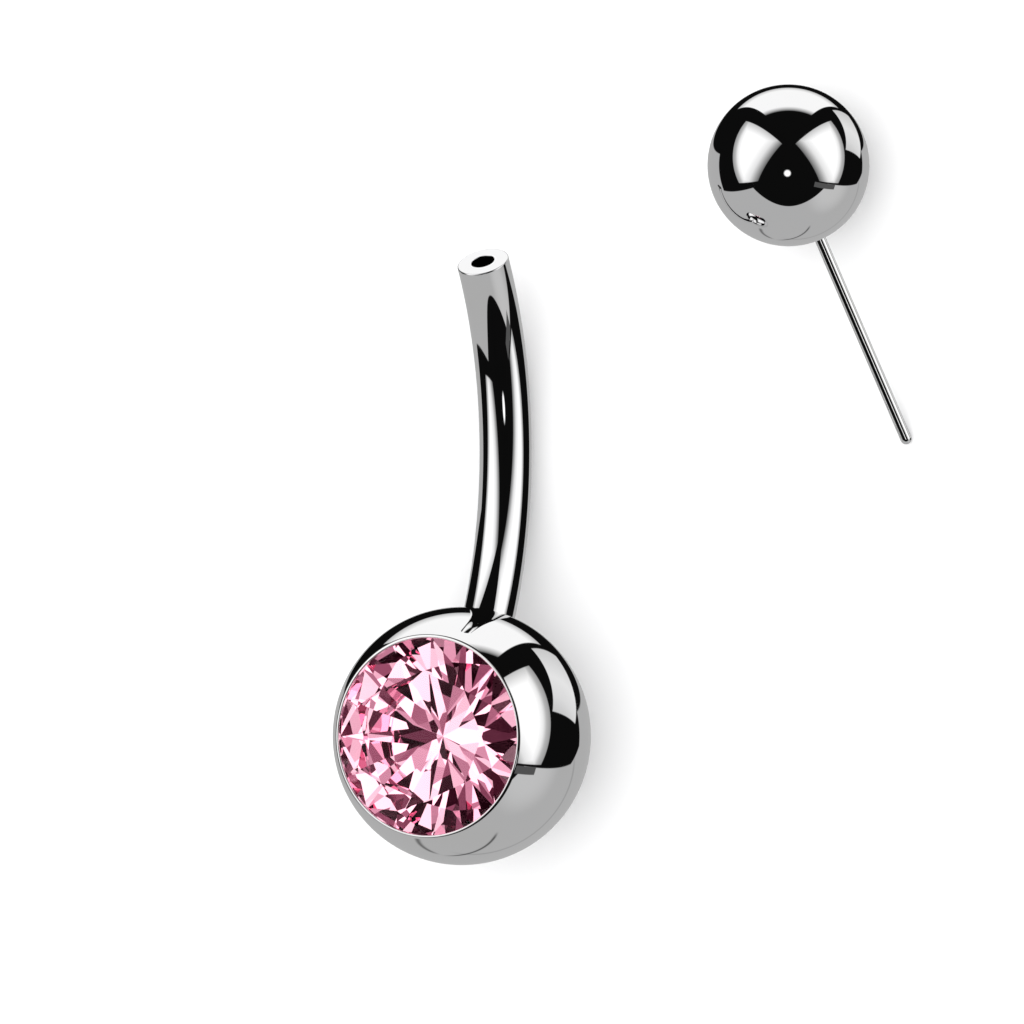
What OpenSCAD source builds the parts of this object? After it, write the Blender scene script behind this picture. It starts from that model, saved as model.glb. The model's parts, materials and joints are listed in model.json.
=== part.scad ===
// Curved navel ring with a push-in end, shown open: the gem ball and its bent
// shank lie on their back with the stone up, and the small ball with its pin,
// pulled out of the shank's bore, lies beside them. The parts rest on Z = 0.

/* [Gem ball] */
// Diameter of the gem ball
gem_ball_d = 8; // [7:0.1:10]
// Width of the flat metal rim round the stone
rim_w = 0.12; // [0.1:0.005:0.3]
// How far the rim folds in over the stone's edge
rim_over = 0.05; // [0.02:0.01:0.1]
// Height of the rim's inner lip
rim_lip = 0.12; // [0.08:0.01:0.3]

/* [Stone] */
// Diameter of the round stone across its girdle
stone_d = 6.2; // [5:0.1:6.4]
// Diameter of the table across its corners
table_d = 4.05; // [3:0.05:4.4]
// Slope of the crown's kite facets
crown_angle = 27; // [20:1:36]
// Slope of the pavilion's main facets
pavilion_angle = 41; // [38:0.5:43]
// Thickness of the girdle at its widest points
girdle_t = 0.16; // [0.12:0.01:0.3]
// Share of the way from table to girdle that the star facets reach
star_share = 0.5; // [0.4:0.05:0.6]
// Share of the way from girdle to culet that the lower halves reach
lower_share = 0.77; // [0.6:0.01:0.85]

/* [Shank] */
// Thickness of the shank's wire
shank_d = 1.62; // [1.4:0.01:1.8]
// Radius of the shank's bend, at the middle of the wire
bend_r = 11.4; // [10:0.1:16]
// Angle that the shank bends through between the ball and its open end
bend_angle = 58.8; // [45:0.1:65]
// Lean of the shank's foot behind the plane of the stone's face
foot_lean = 28.2; // [20:0.1:35]
// Depth of the shank's foot in the gem ball
foot_depth = 1.8; // [1:0.1:2]
// Chamfer round the shank's open end
end_chamfer = 0.04; // [0.02:0.01:0.1]

/* [Bore] */
// Diameter of the bore in the shank's open end
bore_d = 0.73; // [0.6:0.01:0.9]
// Straight stretch of the bore behind its mouth
bore_lead = 1.6; // [1.2:0.1:1.8]
// Depth of the whole bore along the wire
bore_depth = 7.4; // [5:0.1:9]

/* [Top ball] */
// Diameter of the top ball
top_ball_d = 5; // [3.5:0.1:6]
// Thickness of the pin
pin_d = 0.35; // [0.3:0.01:0.5]
// Length of pin that stands out of the ball
pin_out = 6.9; // [5:0.1:7.2]
// Depth of the pin in the ball
pin_depth = 1.5; // [1:0.1:2]
// How much the radius of the pin's root tapers, where it is wedged into the ball
pin_taper = 0.01; // [0.005:0.005:0.03]

/* [Lying apart] */
// How far the top ball lies beside the gem ball, centre to centre
apart_x = 10.5; // [9:0.1:14]
// How far the top ball lies beyond the gem ball, centre to centre
apart_y = 17.6; // [12:0.1:22]
// Turn of the pin on the surface, away from the line back to the gem ball's side
pin_turn = 19; // [0:1:40]

/* [Fits] */
// Clearance round the stone and the feet pressed into the balls
seat_gap = 0.02; // [0.01:0.005:0.04]
// Clearance between the stone's crown and the rim's lip
lip_gap = 0.06; // [0.05:0.01:0.1]

/* [Hidden] */

// Roundness of the balls and of the small turned parts
ball_fn = 144;
turned_fn = 72;
// Overshoot of a cut past the surface that it opens
cut = 0.1;
// Facets in one ring of the stone, and points on the girdle's edge per facet
mains = 8;
edge_steps = 3;

gem_ball_r = gem_ball_d / 2;
stone_r = stone_d / 2;
table_r = table_d / 2;
shank_r = shank_d / 2;
bore_r = bore_d / 2;
top_ball_r = top_ball_d / 2;
pin_r = pin_d / 2;

// The rim's flat face cuts the ball where the stone, its lip and the rim's width fit
lip_r = stone_r - rim_over;
face_r = lip_r + rim_w;
face_z = sqrt(gem_ball_r ^ 2 - face_r ^ 2);
girdle_top_z = face_z - rim_lip - lip_gap;
girdle_low_z = girdle_top_z - girdle_t;
seat_r = stone_r + seat_gap;

// The shank's bend starts square to the ball's skin: its centre in the ring's own
// plane, with along counted beyond the ball's centre and over counted above it
bend_along = gem_ball_r * cos(foot_lean) + bend_r * sin(foot_lean);
bend_over = bend_r * cos(foot_lean) - gem_ball_r * sin(foot_lean);
tip_lean = bend_angle - foot_lean;
tip_along = bend_along + bend_r * sin(tip_lean);

// The ring tips forward until the bend's back and the ball share one flat surface
bend_reach = sqrt(bend_along ^ 2 + bend_over ^ 2);
rest_tip = atan2(bend_over, bend_along)
    - asin((bend_r + shank_r - gem_ball_r) / bend_reach);

// The top ball tips over until the round end of its pin touches the surface
pin_reach = top_ball_r + pin_out;
pin_drop = asin((top_ball_r - pin_r) / (pin_reach - pin_r));
pin_tip_x = apart_x + (pin_reach - pin_r) * cos(pin_drop) * sin(pin_turn);

// The origin lies under the middle of everything that rests on the surface
low_x = -gem_ball_r;
high_x = max(apart_x + top_ball_r, pin_tip_x + pin_r);
low_y = -gem_ball_r;
high_y = max(apart_y + top_ball_r, tip_along + shank_r);
middle_x = (low_x + high_x) / 2;
middle_y = (low_y + high_y) / 2;

// Points of the stone's rings. Heights are counted from the girdle's upper edge
// on the crown, and from its lower edge, downwards, on the pavilion.
function facet_rise(r, angle, slope) = (stone_r - r * cos(angle)) * tan(slope);
half_step = 180 / mains;
edge_count = 2 * mains * edge_steps;
star_r = table_r * cos(half_step) + star_share * (stone_r - table_r * cos(half_step));
lower_r = stone_r * (1 - lower_share);
crown_h = facet_rise(table_r, 0, crown_angle);
star_h = facet_rise(star_r, half_step, crown_angle);
lower_h = facet_rise(lower_r, half_step, pavilion_angle);
culet_h = facet_rise(0, 0, pavilion_angle);

// Drop of a girdle facet's plane below the girdle's corners, at an angle between
// two corners, when the facet runs up to a tip of radius tip_r and height tip_h
function edge_drop(angle, tip_r, tip_h) =
    let (mid = half_step / 2)
    let (chord_r = stone_r * cos(mid))
    let (slope = tip_h / (chord_r - tip_r * cos(mid)))
    (stone_r * cos(angle - mid) - chord_r) * slope;

function polar(r, angle, z) = [r * cos(angle), r * sin(angle), z];
function ring(r, z, first, count) =
    [for (i = [0 : count - 1]) polar(r, first + i * 360 / count, z)];
function edge_ring(z, way, tip_r, tip_h) =
    [for (i = [0 : edge_count - 1])
        let (past_corner = (i % edge_steps) * half_step / edge_steps)
        polar(stone_r, i * 360 / edge_count, z - way * edge_drop(past_corner, tip_r, tip_h))];

stone_points = concat(
    ring(table_r, girdle_top_z + crown_h, 0, mains),
    ring(star_r, girdle_top_z + star_h, half_step, mains),
    edge_ring(girdle_top_z, 1, star_r, star_h),
    edge_ring(girdle_low_z, -1, lower_r, lower_h),
    ring(lower_r, girdle_low_z - lower_h, half_step, mains),
    [[0, 0, girdle_low_z - culet_h]]
);
// Where each ring starts in the list of points
star_at = mains;
top_at = 2 * mains;
low_at = top_at + edge_count;
lower_at = low_at + edge_count;
culet_at = lower_at + mains;

function next(i, count) = (i + 1) % count;
function edge_at(start, i) = start + i % edge_count;
function edge_run(start, from) = [for (i = [0 : edge_steps]) edge_at(start, from + i)];
function reversed(list) = [for (i = [len(list) - 1 : -1 : 0]) list[i]];

table_face = [[for (i = [mains - 1 : -1 : 0]) i]];
star_faces = [for (i = [0 : mains - 1]) [i, next(i, mains), star_at + i]];
kite_faces = [for (i = [0 : mains - 1])
    [i, star_at + i, edge_at(top_at, 2 * edge_steps * i), star_at + (i + mains - 1) % mains]];
upper_faces = [for (i = [0 : 2 * mains - 1])
    concat([star_at + floor(i / 2)], reversed(edge_run(top_at, i * edge_steps)))];
girdle_faces = [for (i = [0 : edge_count - 1])
    [edge_at(top_at, i), edge_at(top_at, i + 1), edge_at(low_at, i + 1), edge_at(low_at, i)]];
lower_faces = [for (i = [0 : 2 * mains - 1])
    concat([lower_at + floor(i / 2)], edge_run(low_at, i * edge_steps))];
main_faces = [for (i = [0 : mains - 1])
    [culet_at, lower_at + (i + mains - 1) % mains, edge_at(low_at, 2 * edge_steps * i), lower_at + i]];

// Lays the ring down with its stone up, tipped forward onto the back of its bend
module laid_down() {
    translate([-middle_x, -middle_y, gem_ball_r])
        rotate([-rest_tip, 0, 0])
            children();
}

// Lays the top ball down beside the ring, on its own side and the pin's tip
module laid_apart() {
    translate([apart_x - middle_x, apart_y - middle_y, top_ball_r])
        rotate([0, 0, pin_turn])
            rotate([90 + pin_drop, 0, 0])
                children();
}

// Puts what points up Z at the ball's skin, pointing out along the shank's foot
module at_foot() {
    rotate([-90 - foot_lean, 0, 0])
        translate([0, 0, gem_ball_r])
            children();
}

// Puts the bend's centre at the origin, with the wire's foot end on the X axis and
// its open end a turn of bend_angle on, round Z
module in_bend() {
    translate([0, bend_along, bend_over])
        rotate([0, 90, 0])
            rotate([0, 0, -foot_lean])
                children();
}

// In the bend, a round wire from one angle past the foot to another
module bent_wire(r, from, to) {
    rotate([0, 0, from])
        rotate_extrude(angle = to - from, $fn = ball_fn)
            translate([bend_r, 0])
                circle(r = r, $fn = turned_fn);
}

// In the bend, puts what points up Z at the open end, pointing out of its bore
module at_open_end() {
    rotate([0, 0, bend_angle])
        translate([bend_r, 0, 0])
            rotate([-90, 0, 0])
                children();
}

module gem_ball() {
    color("silver")
        laid_down()
            difference() {
                sphere(r = gem_ball_r, $fn = ball_fn);
                translate([-gem_ball_r, -gem_ball_r, face_z])
                    cube([gem_ball_d, gem_ball_d, gem_ball_r]);
                stone_seat();
                at_foot()
                    translate([0, 0, -foot_depth - seat_gap])
                        cylinder(r = shank_r + seat_gap, h = foot_depth + seat_gap + cut,
                            $fn = turned_fn);
            }
}

// The hollow that holds the stone: its mouth, its girdle's step and its cone, which
// also clears the tips of the lower halves that stand out past the mains' slope
module stone_seat() {
    tips_out = lower_r * (1 - cos(half_step)) * tan(pavilion_angle);
    cone_z = girdle_low_z - seat_gap - tips_out;
    rotate_extrude($fn = ball_fn)
        polygon([
            [0, cone_z - seat_r * tan(pavilion_angle)],
            [seat_r, cone_z],
            [seat_r, girdle_top_z + lip_gap],
            [lip_r, girdle_top_z + lip_gap],
            [lip_r, face_z + cut],
            [0, face_z + cut]
        ]);
}

module stone() {
    color("hotpink")
        laid_down()
            polyhedron(
                points = stone_points,
                faces = concat(table_face, star_faces, kite_faces, upper_faces,
                    girdle_faces, lower_faces, main_faces)
            );
}

module shank() {
    color("silver")
        laid_down()
            in_bend()
                difference() {
                    union() {
                        bent_wire(shank_r, 0, bend_angle);
                        translate([bend_r, 0, 0])
                            rotate([90, 0, 0])
                                cylinder(r = shank_r, h = foot_depth, $fn = turned_fn);
                    }
                    shank_bore();
                    at_open_end()
                        end_bevel();
                }
}

// The bore: a straight lead behind the mouth, then on round the bend, which starts
// a little inside the lead
module shank_bore() {
    lead_turn = (bore_lead - cut) / bend_r * 180 / PI;
    bore_turn = bore_depth / bend_r * 180 / PI;
    at_open_end()
        translate([0, 0, -bore_lead])
            cylinder(r = bore_r, h = bore_lead + cut, $fn = turned_fn);
    bent_wire(bore_r, bend_angle - bore_turn, bend_angle - lead_turn);
}

// The ring of metal that the chamfer takes off the edge of the open end
module end_bevel() {
    rotate_extrude($fn = turned_fn)
        polygon([
            [shank_r + cut, -end_chamfer - cut],
            [shank_r + cut, cut],
            [shank_r - end_chamfer - cut, cut]
        ]);
}

module top_ball() {
    color("silver")
        laid_apart()
            difference() {
                sphere(r = top_ball_r, $fn = ball_fn);
                translate([0, 0, top_ball_r - pin_depth - seat_gap])
                    cylinder(r = pin_r + seat_gap, h = pin_depth + seat_gap + cut,
                        $fn = turned_fn);
            }
}

module pin() {
    color("silver")
        laid_apart()
            union() {
                rotate_extrude($fn = turned_fn)
                    polygon([
                        [0, top_ball_r - pin_depth],
                        [pin_r - pin_taper, top_ball_r - pin_depth],
                        [pin_r, top_ball_r],
                        [pin_r, pin_reach - pin_r],
                        [0, pin_reach - pin_r]
                    ]);
                translate([0, 0, pin_reach - pin_r])
                    sphere(r = pin_r, $fn = turned_fn);
            }
}

gem_ball();
stone();
shank();
top_ball();
pin();
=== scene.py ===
import json
import math

import bpy
from mathutils import Matrix, Vector


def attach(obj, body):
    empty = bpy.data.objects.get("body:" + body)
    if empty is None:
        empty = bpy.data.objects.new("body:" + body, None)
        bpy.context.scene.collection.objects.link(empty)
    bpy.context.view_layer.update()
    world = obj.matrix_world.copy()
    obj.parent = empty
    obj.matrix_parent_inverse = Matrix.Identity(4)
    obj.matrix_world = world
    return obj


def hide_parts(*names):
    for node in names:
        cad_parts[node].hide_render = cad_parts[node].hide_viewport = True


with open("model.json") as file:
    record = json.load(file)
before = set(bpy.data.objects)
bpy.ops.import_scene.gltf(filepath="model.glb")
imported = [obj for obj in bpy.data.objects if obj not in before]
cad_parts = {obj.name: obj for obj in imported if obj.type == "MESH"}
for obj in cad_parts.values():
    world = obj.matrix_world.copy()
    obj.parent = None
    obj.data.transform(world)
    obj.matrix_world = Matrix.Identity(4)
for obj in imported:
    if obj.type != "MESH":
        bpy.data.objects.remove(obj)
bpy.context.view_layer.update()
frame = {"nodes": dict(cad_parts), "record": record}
print("frame loaded:", ", ".join(frame["nodes"]))

mm = 0.001  # sizes below are in millimetres, Blender's own are metres
xAxis, yAxis, zAxis = Vector((1, 0, 0)), Vector((0, 1, 0)), Vector((0, 0, 1))
scene = bpy.context.scene
mounts = {mount["name"]: mount for mount in frame["record"]["mounts"]}


def mountPlace(name):
    mount = mounts[name]
    return Vector(mount["pos_m"]) / mm, Vector(mount["axis"]).normalized()


# Where the pieces lie, from the mounts at the open end and on the pin

ringSizes = {
    "ballRadius": 4,
    "footLean": math.radians(28.2),  # of the wire's foot, behind the plane of the stone's face
    "footDepth": 1.8,
    "bendRadius": 11.4,
    "bendAngle": math.radians(58.8),
    "wireRadius": 0.81,
    "seatGap": 0.02,
}


def around(angle):
    # a direction in the ring's own plane: 0 is along the ring, a quarter turn is the stone's axis
    return yAxis * math.cos(angle) + zAxis * math.sin(angle)


def placeRing(sizes):
    # the ring's own frame has the ball at the origin, the stone up Z and the wire along Y
    mouth, mouthAxis = mountPlace("end_bore")
    lean, turn = sizes["footLean"], sizes["bendAngle"]
    restTip = turn - lean - math.atan2(mouthAxis.z, mouthAxis.y)
    rest = Matrix.Rotation(-restTip, 4, "X")
    centre = around(-lean) * sizes["ballRadius"] + around(math.pi / 2 - lean) * sizes["bendRadius"]
    mouthHere = centre - around(math.pi / 2 + turn - lean) * sizes["bendRadius"]
    return Matrix.Translation(mouth - rest @ mouthHere) @ rest, centre


ringPlace, bendCentre = placeRing(ringSizes)

apartSizes = {
    "ballRadius": 2.5,
    "pinRadius": 0.175,
    "pinOut": 6.9,
    "pinDepth": 1.5,
    "pinTaper": 0.01,
    "tipDome": 0.175,
    "mountOut": 1,  # the pin's mount stands this far off the ball
    "holeEase": 0.03,
    "seatGap": 0.02,
    "ballSteps": 140,
    "holeSteps": 8,
    "pinSteps": 20,
    "domeSteps": 24,
}


def placeApart(sizes):
    spot, axis = mountPlace("end_pin")
    turn = zAxis.rotation_difference(axis).to_matrix().to_4x4()
    return Matrix.Translation(spot - axis * (sizes["ballRadius"] + sizes["mountOut"])) @ turn


apartPlace = placeApart(apartSizes)


# The camera looks at the picture's middle, from the photo's angle to the ring

viewSizes = {
    "beside": math.radians(25.5),  # the camera stands beside the stone's axis
    "below": math.radians(0.12),
    "roll": math.radians(0.26),
    "lens": 1000,
    "sensor": 36,
    "clip": (0.01, 10),  # metres
    "picture": 1024,
    "ballX": 461.8,  # the gem ball's middle in the photo's pixels
    "ballY": 736.0,
    "scale": 32.28,  # pixels to the millimetre
}


def makeCamera(sizes):
    turn = ringPlace.to_3x3() @ Matrix.Rotation(sizes["beside"], 3, "Y")
    turn = turn @ Matrix.Rotation(sizes["below"], 3, "X") @ Matrix.Rotation(-sizes["roll"], 3, "Z")
    right, up, toward = turn.col
    half = sizes["picture"] / 2
    aside = (half - sizes["ballX"]) / sizes["scale"]
    above = (sizes["ballY"] - half) / sizes["scale"]
    middle = ringPlace.translation + right * aside + up * above
    away = sizes["lens"] / sizes["sensor"] * sizes["picture"] / sizes["scale"]
    data = bpy.data.cameras.new("camera")
    data.lens, data.sensor_width = sizes["lens"], sizes["sensor"]
    data.clip_start, data.clip_end = sizes["clip"]
    camera = bpy.data.objects.new("camera", data)
    camera.matrix_world = Matrix.Translation((middle + toward * away) * mm) @ turn.to_4x4()
    scene.collection.objects.link(camera)
    scene.camera = camera
    return right.copy(), up.copy(), toward.copy()


rightOfView, upOfView, towardView = makeCamera(viewSizes)
print("camera set")


# Nodes: sockets that add up as numbers do, and one way to add any other node

class Wire:
    def __init__(self, tree, socket):
        self.tree, self.socket = tree, socket

    def maths(self, operation, *terms):
        settings = {"operation": operation}
        return self.tree.add("ShaderNodeMath", settings, dict(enumerate(terms)))

    def __add__(self, other):
        return self.maths("ADD", self, other)

    def __radd__(self, other):
        return self.maths("ADD", other, self)

    def __sub__(self, other):
        return self.maths("SUBTRACT", self, other)

    def __rsub__(self, other):
        return self.maths("SUBTRACT", other, self)

    def __mul__(self, other):
        return self.maths("MULTIPLY", self, other)

    def __rmul__(self, other):
        return self.maths("MULTIPLY", other, self)

    def atMost(self, other):
        return self.maths("MINIMUM", self, other)

    def atLeast(self, other):
        return self.maths("MAXIMUM", self, other)

    def size(self):
        return self.maths("ABSOLUTE", self)

    def along(self, vector):
        # how far this direction goes along a vector
        settings = {"operation": "DOT_PRODUCT"}
        return self.tree.add("ShaderNodeVectorMath", settings, {0: self, 1: tuple(vector)}, "Value")

    def fade(self, start, end, low=0.0, high=1.0, shape="SMOOTHSTEP"):
        # low up to start, high from end on
        settings = {"interpolation_type": shape}
        ins = {"Value": self, "From Min": start, "From Max": end, "To Min": low, "To Max": high}
        return self.tree.add("ShaderNodeMapRange", settings, ins)

    def ramp(self, stops):
        return self.tree.add("ShaderNodeValToRGB", {"stops": stops}, {0: self})


class NodeTree:
    def __init__(self, owner):
        owner.use_nodes = True
        self.nodes, self.links = owner.node_tree.nodes, owner.node_tree.links
        self.nodes.clear()

    def add(self, kind, settings=None, ins=None, out=0):
        node = self.nodes.new(kind)
        for name, value in (settings or {}).items():
            if name == "stops":
                self.setStops(node.color_ramp, value)
            else:
                setattr(node, name, value)
        for name, value in (ins or {}).items():
            if isinstance(value, Wire):
                self.links.new(value.socket, node.inputs[name])
            else:
                node.inputs[name].default_value = value
        return Wire(self, node.outputs[out]) if node.outputs else node

    def setStops(self, ramp, stops):
        # colours or plain greys at places along the ramp
        while len(ramp.elements) < len(stops):
            ramp.elements.new(0.5)
        while len(ramp.elements) > len(stops):
            ramp.elements.remove(ramp.elements[-1])
        for element, (place, colour) in zip(ramp.elements, stops):
            grey = isinstance(colour, (int, float))
            element.position, element.color = place, (*([colour] * 3 if grey else colour), 1)


# The studio that the polish mirrors. Directions are azimuth and elevation in degrees, seen from the
# piece: 0, 0 is towards the camera, azimuth grows to the right and elevation towards the picture's top.
# Each corner goes with how the light grows inwards from the edge that starts there, as depth and light

sharp = [(0, 1)]
ceiling = {
    "corners": [(76, 64.5), (149, 30), (-149, 30), (-76, 64.5)],
    "ramps": [sharp, [(0, 0.5), (0.2, 1)], sharp, [(0, 0), (0.05, 0.35), (0.16, 1)]],
    "light": 1.04,
}
rightKey = {
    "corners": [(10, 30), (102, 46), (81, -20), (47, -21.5)],
    "ramps": [
        [(0, 0.5), (0.09, 0.72), (0.2, 1)],
        [(0, 0.28), (0.09, 0.45), (0.16, 0.8), (0.25, 1)],
        [(0, 0.55), (0.05, 0.8), (0.1, 1)],
        [(0, 0.1), (0.1, 0.35), (0.22, 0.75), (0.4, 1)],
    ],
    "light": 1.16,
}
leftKey = {**rightKey, "corners": [(-azimuth, rise) for azimuth, rise in rightKey["corners"]]}
sidePanel = {
    "corners": [(93, 15), (133, 43), (153, 21), (124, 4.5)],
    "ramps": [sharp, [(0, 0.75), (0.3, 1), (0.5, 0.9), (0.75, 0.62)], sharp, sharp],
    "light": 0.86,
}
studio = {
    "panels": [ceiling, rightKey, leftKey, sidePanel],
    "dark": 0.004,
    "edge": 0.014,  # how softly each panel's edge ends
    "pale": 1.5,  # the plain light that the camera and the floor see
}
# The grey table lies below both of its lines and below one of its near lines, each through two
# directions, and rises behind the pieces. It is a little lighter around its glow's direction
table = {
    "lines": [((77, -22), (128, -10)), ((-80, -28), (-132, -13))],
    "light": 0.45,
    "nearLines": [((57, -31), (0, -64)), ((-57, -31), (0, -64))],
    "nearRounding": 0.3,
    "glow": {"at": (70, -28), "starts": 0.8, "light": 0.12},  # starts is a cosine from its middle
    "backRise": 9,
    "backFrom": 131,
    "backCorner": ((122, -12), (132, -3)),
    "cornerFrom": 118,
    "bar": {"corners": [(40, -22), (76.5, -21.5), (77.5, -28), (40, -29.5)], "light": 0.09},
    # faint lines on the table, each from one direction through a second to a third, and how far
    # from the second one it starts to fade and is gone, as cosines
    "arcs": [
        {
            "through": ((120, -66), (165, -55.3), (178, -48)),
            "width": 0.025, "depth": 0.8, "fades": 0.975, "gone": 0.925,
        },
        {
            "through": ((131, -14), (150, -30), (176, -47)),
            "width": 0.035, "depth": 0.25, "fades": 0.93, "gone": 0.8,
        },
        {
            "through": ((-147, -52), (-156, -47.5), (-166, -43)),
            "width": 0.022, "depth": 0.65, "fades": 0.993, "gone": 0.975,
        },
    ],
}
lampSpot = {"at": (-2, -12), "core": 0.001, "edge": 0.005, "light": 1.3}

# What the stone gathers from all around: soft patches of light and dark, as a busy room has
stoneLight = {
    "patches": 2.5,  # the larger, the smaller they are
    "turn": 0,  # another number gives other patches
    "darkest": 0.38,  # the patches' own levels that the tones below start and end at
    "brightest": 0.63,
    "tones": [
        (0.0, (0.004, 0.001, 0.002)),
        (0.2, (0.02, 0.005, 0.01)),
        (0.35, (0.14, 0.07, 0.095)),
        (0.5, (0.35, 0.31, 0.32)),
        (0.65, (0.56, 0.68, 0.6)),
        (0.8, (0.9, 0.95, 0.87)),
    ],
    "light": 2.4,
}


def lookTo(azimuth, elevation):
    turn, lift = math.radians(azimuth), math.radians(elevation)
    level = rightOfView * math.sin(turn) + towardView * math.cos(turn)
    return level * math.cos(lift) + upOfView * math.sin(lift)


def insideEdge(look, first, second, inner):
    # how far a direction lies past the line through two others, on the inner one's side
    edge = first.cross(second).normalized()
    return look.along(edge if edge.dot(inner) > 0 else -edge)


def edgeDepths(look, corners):
    # how far a direction lies inside each edge of a panel, below 0 outside it
    spots = [lookTo(*corner) for corner in corners]
    middle = sum(spots, Vector())
    return [insideEdge(look, *pair, middle) for pair in zip(spots, spots[1:] + spots[:1])]


def least(wires):
    lowest = wires[0]
    for wire in wires[1:]:
        lowest = lowest.atMost(wire)
    return lowest


def layOver(light, cover, other):
    # puts another light in the place of the first one, where cover is 1
    return light * (1 - cover) + other * cover


def tableCover(look):
    lines, nearLines = (
        [(lookTo(*first), lookTo(*second)) for first, second in table[name]]
        for name in ("lines", "nearLines"))
    nearRight, nearLeft = (insideEdge(look, *line, -upOfView) for line in nearLines)
    nearEdge = nearRight.maths("SMOOTH_MAX", nearRight, nearLeft, table["nearRounding"])
    depth = least([insideEdge(look, *line, -upOfView) for line in lines] + [nearEdge])

    corner = [lookTo(*spot) for spot in table["backCorner"]]
    pastBack, pastCorner = (
        math.cos(math.radians(table[name])) - look.along(towardView)
        for name in ("backFrom", "cornerFrom"))
    backSide = pastBack.atLeast(insideEdge(look, *corner, -upOfView).atMost(pastCorner))
    backDepth = backSide.atMost(math.sin(math.radians(table["backRise"])) - look.along(upOfView))
    return depth.atLeast(backDepth).fade(0, studio["edge"])


def tableLight(look):
    glow = table["glow"]
    light = look.along(lookTo(*glow["at"])).fade(glow["starts"], 1) * glow["light"] + table["light"]
    for arc in table["arcs"]:
        one, two, three = (lookTo(*spot) for spot in arc["through"])
        across = (two - one).cross(three - one).normalized()
        line = (look.along(across) - across.dot(one)).size().fade(0, arc["width"], arc["depth"], 0)
        light = light * (1 - line * look.along(two).fade(arc["gone"], arc["fades"]))
    return light


def mirroredLight(look):
    light = studio["dark"]
    for panel in studio["panels"]:
        depths = edgeDepths(look, panel["corners"])
        fall = least([depth.ramp(stops) for depth, stops in zip(depths, panel["ramps"])])
        light = layOver(light, least(depths).fade(0, studio["edge"]), fall * panel["light"])
    light = layOver(light, tableCover(look), tableLight(look))
    bar = least(edgeDepths(look, table["bar"]["corners"])).fade(0, studio["edge"])
    light = layOver(light, bar, table["bar"]["light"])
    aside = 1 - look.along(lookTo(*lampSpot["at"]))
    return light.atLeast(aside.fade(lampSpot["core"], lampSpot["edge"], lampSpot["light"], 0))


def gatheredLight(look):
    level = look.tree.add("ShaderNodeTexNoise", {"noise_dimensions": "4D"}, {
        "Vector": look, "W": stoneLight["turn"], "Scale": stoneLight["patches"], "Detail": 1})
    level = level.fade(stoneLight["darkest"], stoneLight["brightest"], shape="LINEAR")
    return level.ramp(stoneLight["tones"])


def makeStudio():
    # the camera and the floor see plain light, the stone's rays its own, and the polish the studio
    world = bpy.data.worlds.new("studio")
    scene.world = world
    tree = NodeTree(world)
    look = tree.add("ShaderNodeTexCoord", out="Generated")
    mirrored = tree.add("ShaderNodeBackground", ins={"Color": mirroredLight(look)})
    through = tree.add("ShaderNodeBackground", ins={
        "Color": gatheredLight(look), "Strength": stoneLight["light"]})
    pale = tree.add("ShaderNodeBackground", ins={"Color": (1, 1, 1, 1), "Strength": studio["pale"]})
    path = "ShaderNodeLightPath"
    both = tree.add("ShaderNodeMixShader", ins={
        0: tree.add(path, out="Is Transmission Ray"), 1: mirrored, 2: through})
    plain = tree.add(path, out="Is Camera Ray").atLeast(tree.add(path, out="Is Diffuse Ray"))
    seen = tree.add("ShaderNodeMixShader", ins={0: plain, 1: both, 2: pale})
    tree.add("ShaderNodeOutputWorld", ins={"Surface": seen})


makeStudio()
scene.view_settings.view_transform = "Standard"
scene.cycles.max_bounces = 24
scene.cycles.glossy_bounces = 12
scene.cycles.transmission_bounces = 24
print("studio lit")


# Materials

steelLook = {
    "colour": (0.90, 0.90, 0.905),
    "haze": (0.89, 0.885, 0.88),
    "hazeScale": 260,
    "hazeBand": (0.4, 0.7),  # the noise levels between which it comes in
    "polish": 0.012,  # roughness where it is cleanest
    "wiped": 0.05,  # and where a cloth has dulled it
    "wipeScale": 900,
    "wipeBand": (0.45, 0.75),
}


def makeSteel():
    material = bpy.data.materials.new("mirror_polished_steel")
    tree = NodeTree(material)
    place = tree.add("ShaderNodeTexCoord", out="Object")
    haze = tree.add("ShaderNodeTexNoise", ins={
        "Vector": place, "Scale": steelLook["hazeScale"], "Detail": 3})
    colour = tree.add("ShaderNodeMix", {"data_type": "RGBA"}, {
        0: haze.fade(*steelLook["hazeBand"]),
        6: (*steelLook["colour"], 1), 7: (*steelLook["haze"], 1)}, 2)
    wiped = tree.add("ShaderNodeTexNoise", ins={
        "Vector": place, "Scale": steelLook["wipeScale"], "Detail": 4})
    rough = wiped.fade(*steelLook["wipeBand"], steelLook["polish"], steelLook["wiped"])
    shader = tree.add("ShaderNodeBsdfPrincipled", ins={
        "Base Color": colour, "Metallic": 1.0, "Roughness": rough})
    tree.add("ShaderNodeOutputMaterial", ins={"Surface": shader})
    return material


stoneLook = {
    "colour": (1.0, 0.86, 0.93),
    "absorbed": (0.96, 0.10, 0.43),
    "density": 100,
    "ior": 2.15,
    "gloss": (0.06, 0.06, 0.06),
}


def makePinkStone():
    material = bpy.data.materials.new("pink_zirconia")
    tree = NodeTree(material)
    shader = tree.add("ShaderNodeBsdfPrincipled", ins={
        "Base Color": (*stoneLook["colour"], 1), "Roughness": 0.0, "IOR": stoneLook["ior"],
        "Transmission Weight": 1.0, "Specular Tint": (*stoneLook["gloss"], 1)})
    depth = tree.add("ShaderNodeVolumeAbsorption", ins={
        "Color": (*stoneLook["absorbed"], 1), "Density": stoneLook["density"]})
    tree.add("ShaderNodeOutputMaterial", ins={"Surface": shader, "Volume": depth})
    return material


steel = makeSteel()
pinkStone = makePinkStone()
print("materials mixed")


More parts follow.
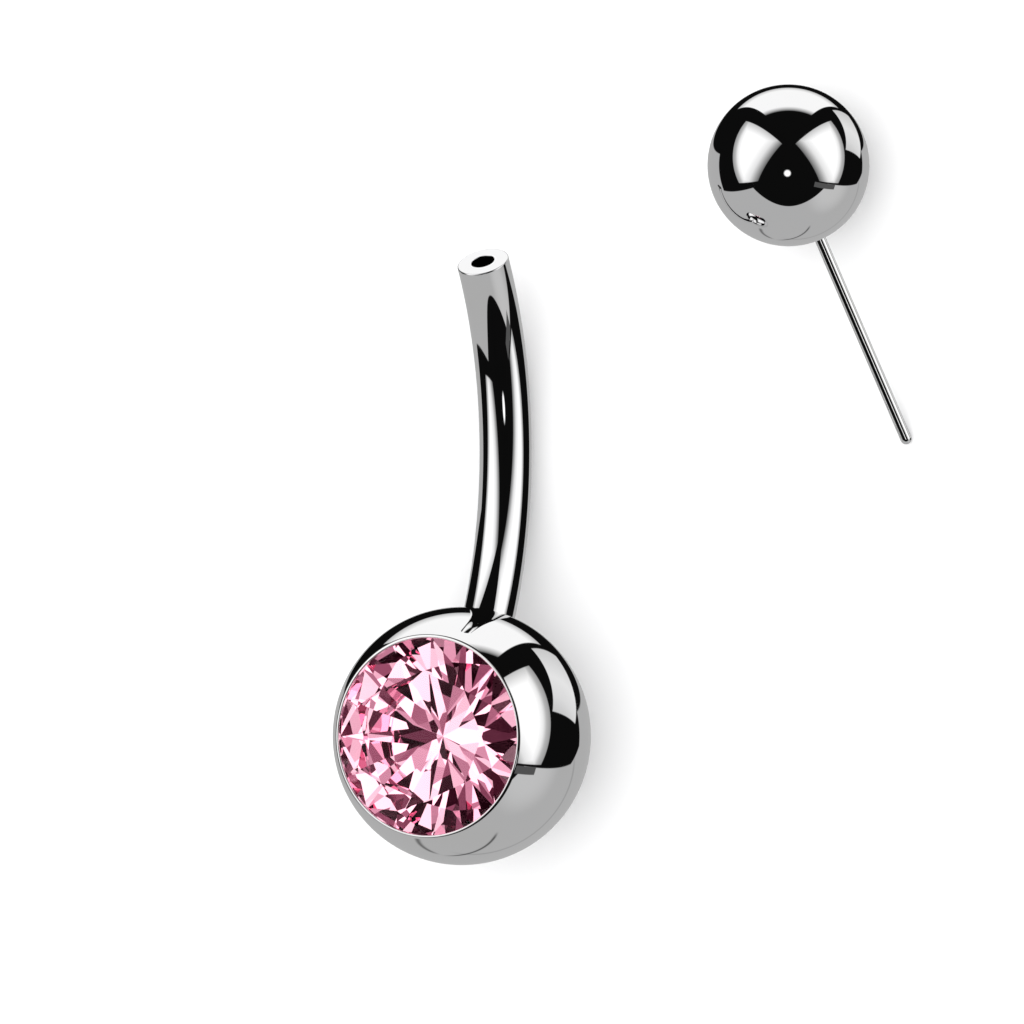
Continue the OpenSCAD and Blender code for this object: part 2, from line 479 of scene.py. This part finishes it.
# Turned and bent metal: a skin is a row of rings, gathered in strokes that meet at sharp edges.
# Each ring says where its points are and which way the surface faces there

sides = 160  # points round each ring


def lathe(place, spots):
    # rings round an axis, from rows of height, radius, and how the surface faces along and out
    origin, along, first, second = place
    rings = []
    for height, radius, facesAlong, facesOut in spots:
        ring = []
        for side in range(sides):
            angle = 2 * math.pi * side / sides
            out = first * math.cos(angle) + second * math.sin(angle)
            facing = (along * facesAlong + out * facesOut).normalized()
            ring.append((origin + along * height + out * radius, facing))
        rings.append(ring)
    return rings


def flat(height, inner, outer, way):
    return [(height, inner, way, 0), (height, outer, way, 0)]


def wall(low, high, radius, way, steps=1):
    return [(low + (high - low) * step / steps, radius, 0, way) for step in range(steps + 1)]


def rounding(height, radius, bend, start, end, steps):
    # an arc about a point at that height and radius, its angles counted from straight out to along
    spots = []
    for step in range(steps + 1):
        angle = start + (end - start) * step / steps
        along, out = math.sin(angle), math.cos(angle)
        spots.append((height + bend * along, radius + bend * out, along, out))
    return spots


def slope(lowHeight, lowRadius, highHeight, highRadius, way):
    # a cone between two heights; way is 1 where the surface faces outwards
    rise, run = highHeight - lowHeight, highRadius - lowRadius
    length = math.hypot(rise, run)
    facing = (-run / length * way, rise / length * way)
    return [(lowHeight, lowRadius, *facing), (highHeight, highRadius, *facing)]


def faceBetween(points, lower, upper, side):
    # the corners of one face between two rings, in the order that suits the way it faces
    after = (side + 1) % sides
    corners = [lower[side], lower[after], upper[after], upper[side]]
    if lower[side][0] == lower[after][0]:
        corners = corners[1:]
    elif upper[side][0] == upper[after][0]:
        corners = corners[:3]
    first, second, third = (points[index] for index, _ in corners[:3])
    if (second - first).cross(third - second).dot(corners[1][1]) < 0:
        corners.reverse()
    return corners


def sew(strokes):
    # points, and faces whose corners each have a point's index and their own exact facing
    points, faces = [], []
    indices, row = [], []
    for stroke in strokes:
        for number, ring in enumerate(stroke):
            if number > 0 or not row:  # a later stroke starts on the points that the last one ends on
                pole = all((spot - ring[0][0]).length < 1e-9 for spot, _ in ring)
                indices = [len(points) + (0 if pole else side) for side in range(sides)]
                points += [ring[0][0]] if pole else [spot for spot, _ in ring]
            lastRow, row = row, [(index, facing) for index, (_, facing) in zip(indices, ring)]
            if number > 0:
                faces += [faceBetween(points, lastRow, row, side) for side in range(sides)]
    return points, faces


def skin(name, strokes, place, slot, *nodes):
    points, faces = sew(strokes)
    turn = place.to_3x3()
    mesh = bpy.data.meshes.new(name)
    mesh.from_pydata(
        [place @ point * mm for point in points], [],
        [[index for index, _ in corners] for corners in faces])
    mesh.polygons.foreach_set("use_smooth", [True] * len(faces))
    mesh.normals_split_custom_set([turn @ facing for corners in faces for _, facing in corners])
    mesh.materials.append(steel)
    piece = bpy.data.objects.new(name, mesh)
    scene.collection.objects.link(piece)
    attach(piece, "root")
    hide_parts(*nodes)
    print(name, "made of", len(faces), "faces")
    return piece


# The gem ball: its seat and rim are turned about the stone's axis, its drilled hole about the foot's,
# and the round skin between them is swept by circles that lean over from one to the other

gemBall = {
    "rimInside": 3.05,
    "rimOutside": 3.17,
    "rimEdge": 3.095,  # the flat of the rim ends here and rolls over to the round skin
    "rimRaise": 0.03,  # how far the rolled rim stands above the cut face
    "rimLip": 0.12,
    "lipGap": 0.06,
    "girdle": 0.16,
    "seatRadius": 3.12,
    "seatSlope": math.tan(math.radians(41)),
    "seatLower": 0.05,  # lets the stone's lower tips clear the seat
    "innerEase": 0.035,
    "innerSteps": 6,
    "rollSteps": 12,
    "skinRings": 170,
}


def ballSkin(radius, firstAngle, lastAngle, hinge, rings):
    # circles on the ball, each in a plane through the hinge line, where the end circles' planes meet
    power = hinge.length_squared - radius * radius
    stroke = []
    for step in range(rings + 1):
        far = around(firstAngle + (lastAngle - firstAngle) * step / rings) * radius
        arm = far - hinge
        near = hinge + arm * (power / arm.length_squared)
        middle, half = (far + near) / 2, (near - far) / 2
        ring = []
        for side in range(sides):
            angle = 2 * math.pi * side / sides
            spot = middle + xAxis * (half.length * math.cos(angle)) + half * math.sin(angle)
            ring.append((spot, spot.normalized()))
        stroke.append(ring)
    return stroke


def makeGemBall(sizes):
    radius, lean = ringSizes["ballRadius"], ringSizes["footLean"]
    holeRadius = ringSizes["wireRadius"] + ringSizes["seatGap"]
    cutHeight = math.sqrt(radius ** 2 - sizes["rimOutside"] ** 2)
    faceHeight = cutHeight + sizes["rimRaise"]
    ledge = cutHeight - sizes["rimLip"]
    coneTop = ledge - sizes["lipGap"] - sizes["girdle"] - sizes["seatLower"]
    coneTip = coneTop - sizes["seatRadius"] * sizes["seatSlope"]
    # the roll touches both the face and the round skin
    easeRadius = sizes["rimEdge"]
    ease = (radius ** 2 - faceHeight ** 2 - easeRadius ** 2) / 2 / (radius - faceHeight)
    easeHeight = faceHeight - ease
    easeAngle = math.atan2(easeHeight, easeRadius)
    inner = sizes["innerEase"]
    seat = (Vector(), zAxis, xAxis, yAxis)
    strokes = [lathe(seat, spots) for spots in (
        slope(coneTip, 0, coneTop, sizes["seatRadius"], -1),
        wall(coneTop, ledge, sizes["seatRadius"], -1),
        flat(ledge, sizes["seatRadius"], sizes["rimInside"], -1),
        wall(ledge, faceHeight - inner, sizes["rimInside"], -1),
        rounding(faceHeight - inner, sizes["rimInside"] + inner, inner,
                 math.pi, math.pi / 2, sizes["innerSteps"]),
        flat(faceHeight, sizes["rimInside"] + inner, easeRadius, 1),
        rounding(easeHeight, easeRadius, ease, math.pi / 2, easeAngle, sizes["rollSteps"]),
    )]

    holeHalf = math.asin(holeRadius / radius)
    holeTop = radius * math.cos(holeHalf)
    faceLow = radius * math.sin(easeAngle)
    # the hinge lies level with the rim's edge and in the plane of the hole's mouth
    footWay = around(-lean)
    hinge = yAxis * ((holeTop + faceLow * math.sin(lean)) / math.cos(lean)) + zAxis * faceLow
    strokes.append(ballSkin(
        radius, math.pi - easeAngle, 2 * math.pi - lean - holeHalf, hinge, sizes["skinRings"]))

    foot = (Vector(), footWay, xAxis, around(math.pi / 2 - lean))
    holeFloor = radius - ringSizes["footDepth"] - ringSizes["seatGap"]
    strokes += [lathe(foot, spots) for spots in (
        wall(holeTop, holeFloor, holeRadius, -1),
        flat(holeFloor, holeRadius, 0, 1),
    )]
    return skin("gem_ball_turned", strokes, ringPlace, "polished_steel", "gem_ball")


ringBall = makeGemBall(gemBall)
ringBall.visible_transmission = False  # rays in the stone pass the seat, as if its back were bright


# The shank: round wire bent to one arc, plain in the ball and drilled at its open end

shank = {
    "boreRadius": 0.365,
    "boreLead": 1.6,
    "boreDepth": 7.4,
    "boreEase": 0.015,
    "endEase": 0.04,
    "endLean": math.radians(8),  # only the shading leans in here, for the grey that the end mirrors
    "endReach": 4.5,
    "bendRings": 200,
    "leadSteps": 4,
    "boreRings": 40,
    "endSteps": 6,
    "boreSteps": 4,
}


def wirePlace(along):
    # a spot on the wire's middle, counted from the ball's skin: negative inside the ball
    lean, bend = ringSizes["footLean"], ringSizes["bendRadius"]
    turn = max(0, along) / bend - lean
    spot = bendCentre - around(turn + math.pi / 2) * bend + around(-lean) * min(0, along)
    return spot, around(turn), xAxis, around(turn + math.pi / 2)


def makeShank(sizes):
    radius = ringSizes["wireRadius"]
    length = ringSizes["bendRadius"] * ringSizes["bendAngle"]
    footEnd, openEnd = wirePlace(-ringSizes["footDepth"]), wirePlace(length)
    straight = length - sizes["endEase"]
    bend = []
    for step in range(sizes["bendRings"] + 1):
        along = straight * step / sizes["bendRings"]
        nearEnd = max(0, 1 - (length - along) / sizes["endReach"])
        lean = sizes["endLean"] * nearEnd ** 2 * (3 - 2 * nearEnd)
        bend += lathe(wirePlace(along), [(0, radius, -math.sin(lean), math.cos(lean))])
    ease, boreEase, bore = sizes["endEase"], sizes["boreEase"], sizes["boreRadius"]
    strokes = [
        lathe(footEnd, flat(0, 0, radius, -1)),
        lathe(footEnd, wall(0, ringSizes["footDepth"], radius, 1)) + bend[1:],
        lathe(openEnd, rounding(-ease, radius - ease, ease, 0, math.pi / 2, sizes["endSteps"])),
        lathe(openEnd, flat(0, radius - ease, bore + boreEase, 1)),
        lathe(openEnd, rounding(
            -boreEase, bore + boreEase, boreEase, math.pi / 2, math.pi, sizes["boreSteps"])),
    ]
    # the drilled lead is straight, then the bore follows the wire
    lead = lathe(openEnd, wall(-boreEase, -sizes["boreLead"], bore, -1, sizes["leadSteps"]))
    for step in range(1, sizes["boreRings"] + 1):
        depth = sizes["boreLead"] + (sizes["boreDepth"] - sizes["boreLead"]) * step / sizes["boreRings"]
        lead += lathe(wirePlace(length - depth), [(0, bore, 0, -1)])
    strokes += [lead, lathe(wirePlace(length - sizes["boreDepth"]), flat(0, bore, 0, 1))]
    return skin("shank_bent", strokes, ringPlace, "polished_steel", "shank")


makeShank(shank)


# The push-in end, off its shank: a drilled ball and a round-ended pin

def makeTopBall(sizes):
    radius = sizes["ballRadius"]
    ease = sizes["holeEase"]
    hole = sizes["pinRadius"] + sizes["seatGap"]
    # the hole's mouth is eased over by a small rounding that touches both the ball and the hole
    easeOut = hole + ease
    easeUp = math.sqrt((radius - ease) ** 2 - easeOut ** 2)
    easeAngle = math.atan2(easeUp, easeOut)
    floor = radius - sizes["pinDepth"] - sizes["seatGap"]
    upright = (Vector(), zAxis, xAxis, yAxis)
    strokes = [lathe(upright, spots) for spots in (
        rounding(0, 0, radius, -math.pi / 2, easeAngle, sizes["ballSteps"]),
        rounding(easeUp, easeOut, ease, easeAngle, math.pi, sizes["holeSteps"]),
        wall(easeUp, floor, hole, -1),
        flat(floor, hole, 0, 1),
    )]
    return skin("top_ball_turned", strokes, apartPlace, "polished_steel", "top_ball")


def makePin(sizes):
    radius, reach = sizes["pinRadius"], sizes["ballRadius"] + sizes["pinOut"]
    root = sizes["ballRadius"] - sizes["pinDepth"]
    upright = (Vector(), zAxis, xAxis, yAxis)
    strokes = [lathe(upright, spots) for spots in (
        flat(root, 0, radius - sizes["pinTaper"], -1),
        slope(root, radius - sizes["pinTaper"], sizes["ballRadius"], radius, 1),
        wall(sizes["ballRadius"], reach - sizes["tipDome"], radius, 1, sizes["pinSteps"]),
        rounding(reach - sizes["tipDome"], 0, radius, 0, math.pi / 2, sizes["domeSteps"]),
    )]
    return skin("pin_round_ended", strokes, apartPlace, "polished_steel", "pin")


topBall = makeTopBall(apartSizes)
pin = makePin(apartSizes)
topBall.visible_glossy = pin.visible_glossy = False  # keeps them out of the gem ball's polish


# The stone keeps its own cut, and gets its colour and depth

stone = frame["nodes"]["stone"]
stone.data.materials.clear()
stone.data.materials.append(pinkStone)
print("stone coloured")


# A pale floor and soft light over it

floorLook = {
    "reach": 4,  # metres each way
    "colour": (0.94, 0.94, 0.94),
    "shade": (0.92, 0.92, 0.925),
    "shadeScale": 40,
    "roughness": 0.9,
}
softTop = {"spot": (0.1, 0.15, 0.6), "size": 0.7, "power": 0.3}  # metres and watts


def makeFloor():
    reach = floorLook["reach"]
    mesh = bpy.data.meshes.new("pale_floor")
    corners = [(-reach, -reach, 0), (reach, -reach, 0), (reach, reach, 0), (-reach, reach, 0)]
    mesh.from_pydata(corners, [], [(0, 1, 2, 3)])
    material = bpy.data.materials.new("pale_paper")
    tree = NodeTree(material)
    place = tree.add("ShaderNodeTexCoord", out="Object")
    tone = tree.add("ShaderNodeTexNoise", ins={
        "Vector": place, "Scale": floorLook["shadeScale"], "Detail": 2})
    colour = tree.add("ShaderNodeMix", {"data_type": "RGBA"}, {
        0: tone, 6: (*floorLook["colour"], 1), 7: (*floorLook["shade"], 1)}, 2)
    shader = tree.add("ShaderNodeBsdfPrincipled", ins={
        "Base Color": colour, "Roughness": floorLook["roughness"]})
    tree.add("ShaderNodeOutputMaterial", ins={"Surface": shader})
    mesh.materials.append(material)
    floor = bpy.data.objects.new("pale_floor", mesh)
    scene.collection.objects.link(floor)
    floor.visible_glossy = False  # the polish mirrors the studio, not the floor
    floor.visible_transmission = False


def makeLamp(name, sizes):
    data = bpy.data.lights.new(name, "AREA")
    data.shape, data.size, data.energy = "DISK", sizes["size"], sizes["power"]
    lamp = bpy.data.objects.new(name, data)
    lamp.location = sizes["spot"]
    lamp.rotation_mode = "QUATERNION"
    lamp.rotation_quaternion = lamp.location.to_track_quat("Z", "Y")  # shines at the ring
    lamp.visible_glossy = lamp.visible_transmission = lamp.visible_camera = False
    scene.collection.objects.link(lamp)


makeFloor()
makeLamp("soft_top", softTop)
print("floor laid")
